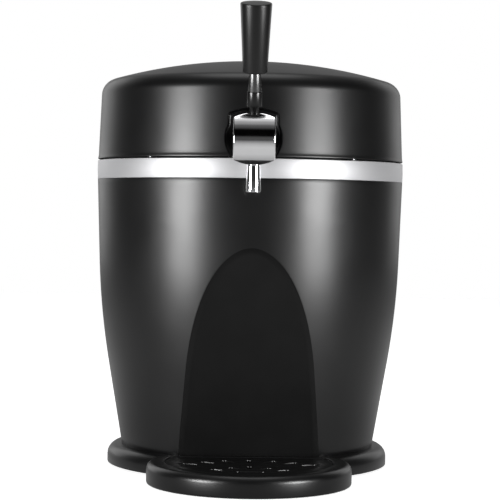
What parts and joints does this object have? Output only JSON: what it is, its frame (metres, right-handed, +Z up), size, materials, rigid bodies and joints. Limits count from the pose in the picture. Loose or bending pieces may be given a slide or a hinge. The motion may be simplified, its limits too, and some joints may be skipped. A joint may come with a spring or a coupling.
{
  "type": "tabletop keg beer dispenser",
  "caption": "Barrel-shaped countertop cooler for a mini keg, with a hinged domed lid that carries a lever tap, a steel band, a front niche and a drip tray.",
  "frame": {"origin": "on the table under the keg's axis, which is the centre of the footprint from the drip tray's front edge to the rear sockets", "axes": "+Z up, -Y to the front where the tap and the drip tray are, +X to the right seen from the front"},
  "size_m": [0.27, 0.4182, 0.3914],
  "materials": {
    "cabinet_plastic": "satin black moulded plastic with a fine texture",
    "base_plastic": "semi-gloss black moulded plastic",
    "trim_steel": "brushed, satin",
    "tap_chrome": "polished",
    "handle_plastic": "semi-gloss black",
    "inner_plastic": "moulded, dark grey",
    "rubber": "matte",
    "liner_aluminium": "satin",
    "sink_aluminium": "extruded",
    "screw_steel": "zinc plated",
    "hinge_steel": "black powder coat",
    "foam": "rigid insulating foam",
    "ceramic": "ceramic plates",
    "board": "green solder mask",
    "winding": "taped winding on a ferrite core",
    "capacitor_sleeve": "shrink sleeve",
    "wire_red": "PVC insulation",
    "wire_black": "PVC insulation",
    "wire_brown": "PVC insulation",
    "switch_red": "moulded red",
    "tube": "food-grade hose"
  },
  "bodies": {
    "cabinet": {"base_plinth": "base_plastic", "base_cover_plate": "inner_plastic", "base_screws": "screw_steel", "rubber_feet": "rubber", "body_shell": "cabinet_plastic", "trim_ring": "trim_steel", "collar_ring": "inner_plastic", "keg_liner": "liner_aluminium", "foam_jacket": "foam", "floor_insulation": "foam", "keg_rest_pad": "rubber", "cold_block": "sink_aluminium", "peltier_module": "ceramic", "hot_heatsink": "sink_aluminium", "heatsink_screws": "screw_steel", "fan_frame": "inner_plastic", "fan_screws": "screw_steel", "rear_cover": "cabinet_plastic", "rear_cover_screws": "screw_steel", "vent_grille": "cabinet_plastic", "power_board": "board", "transformer": "winding", "capacitors": "capacitor_sleeve", "control_board": "board", "temperature_sensor": "screw_steel", "peltier_leads": "wire_red", "fan_lead": "wire_black", "mains_leads": "wire_brown", "sensor_lead": "wire_black", "power_inlet": "inner_plastic", "inlet_pins": "screw_steel", "switch_housing": "inner_plastic", "hinge_bracket": "hinge_steel", "hinge_screws": "screw_steel", "hinge_pin": "screw_steel"},
    "lid": {"lid_shell": "cabinet_plastic", "lid_liner": "inner_plastic", "lid_foam": "foam", "lid_gasket": "rubber", "lid_screws": "screw_steel", "hinge_arm": "hinge_steel", "hinge_arm_screws": "screw_steel", "tap_body": "inner_plastic", "tap_cover": "tap_chrome", "shank_nut": "screw_steel", "spout": "tap_chrome", "valve_seat": "rubber", "valve_spring": "screw_steel", "lever_pin": "screw_steel", "beer_line": "tube", "keg_coupler": "inner_plastic", "coupler_seal": "rubber"},
    "tap_lever": {"lever_stem": "handle_plastic", "lever_collar": "tap_chrome", "lever_grip": "handle_plastic"},
    "valve": {"valve_plunger": "screw_steel"},
    "tray": {"drip_tray": "base_plastic"},
    "grille": {"drip_grille": "base_plastic"},
    "fan": {"fan_rotor": "inner_plastic"},
    "power_switch": {"switch_rocker": "switch_red"}
  },
  "joints": [
    {"name": "lid_hinge", "type": "hinge", "parent": "cabinet", "child": "lid", "pos_m": [0, 0.143, 0.262], "axis": [-1, 0, 0], "range_deg": [0, 85]},
    {"name": "tap_pull", "type": "hinge", "parent": "lid", "child": "tap_lever", "pos_m": [0, -0.148, 0.296], "axis": [1, 0, 0], "range_deg": [0, 20], "stiffness_Nm_per_rad": 0.15, "springref_deg": -20.05},
    {"name": "valve_slide", "type": "slide", "parent": "lid", "child": "valve", "axis": [0, 0, -1], "range_m": [0, 0.0021], "deforming": ["valve_spring"]},
    {"name": "tray_pull", "type": "slide", "parent": "cabinet", "child": "tray", "axis": [0, -1, 0], "range_m": [0, 0.12]},
    {"name": "grille_lift", "type": "slide", "parent": "tray", "child": "grille", "axis": [0, 0, 1], "range_m": [0, 0.02]},
    {"name": "fan_spin", "type": "hinge", "parent": "cabinet", "child": "fan", "pos_m": [0, 0.15, 0.12], "axis": [0, 1, 0], "continuous": true},
    {"name": "switch_rock", "type": "hinge", "parent": "cabinet", "child": "power_switch", "pos_m": [0.036, 0.199, 0.054], "axis": [1, 0, 0], "range_deg": [0, 16]}
  ],
  "couplings": [
    {"joint": "valve_slide", "follows": "tap_pull", "m_per_rad": 0.0058}
  ]
}
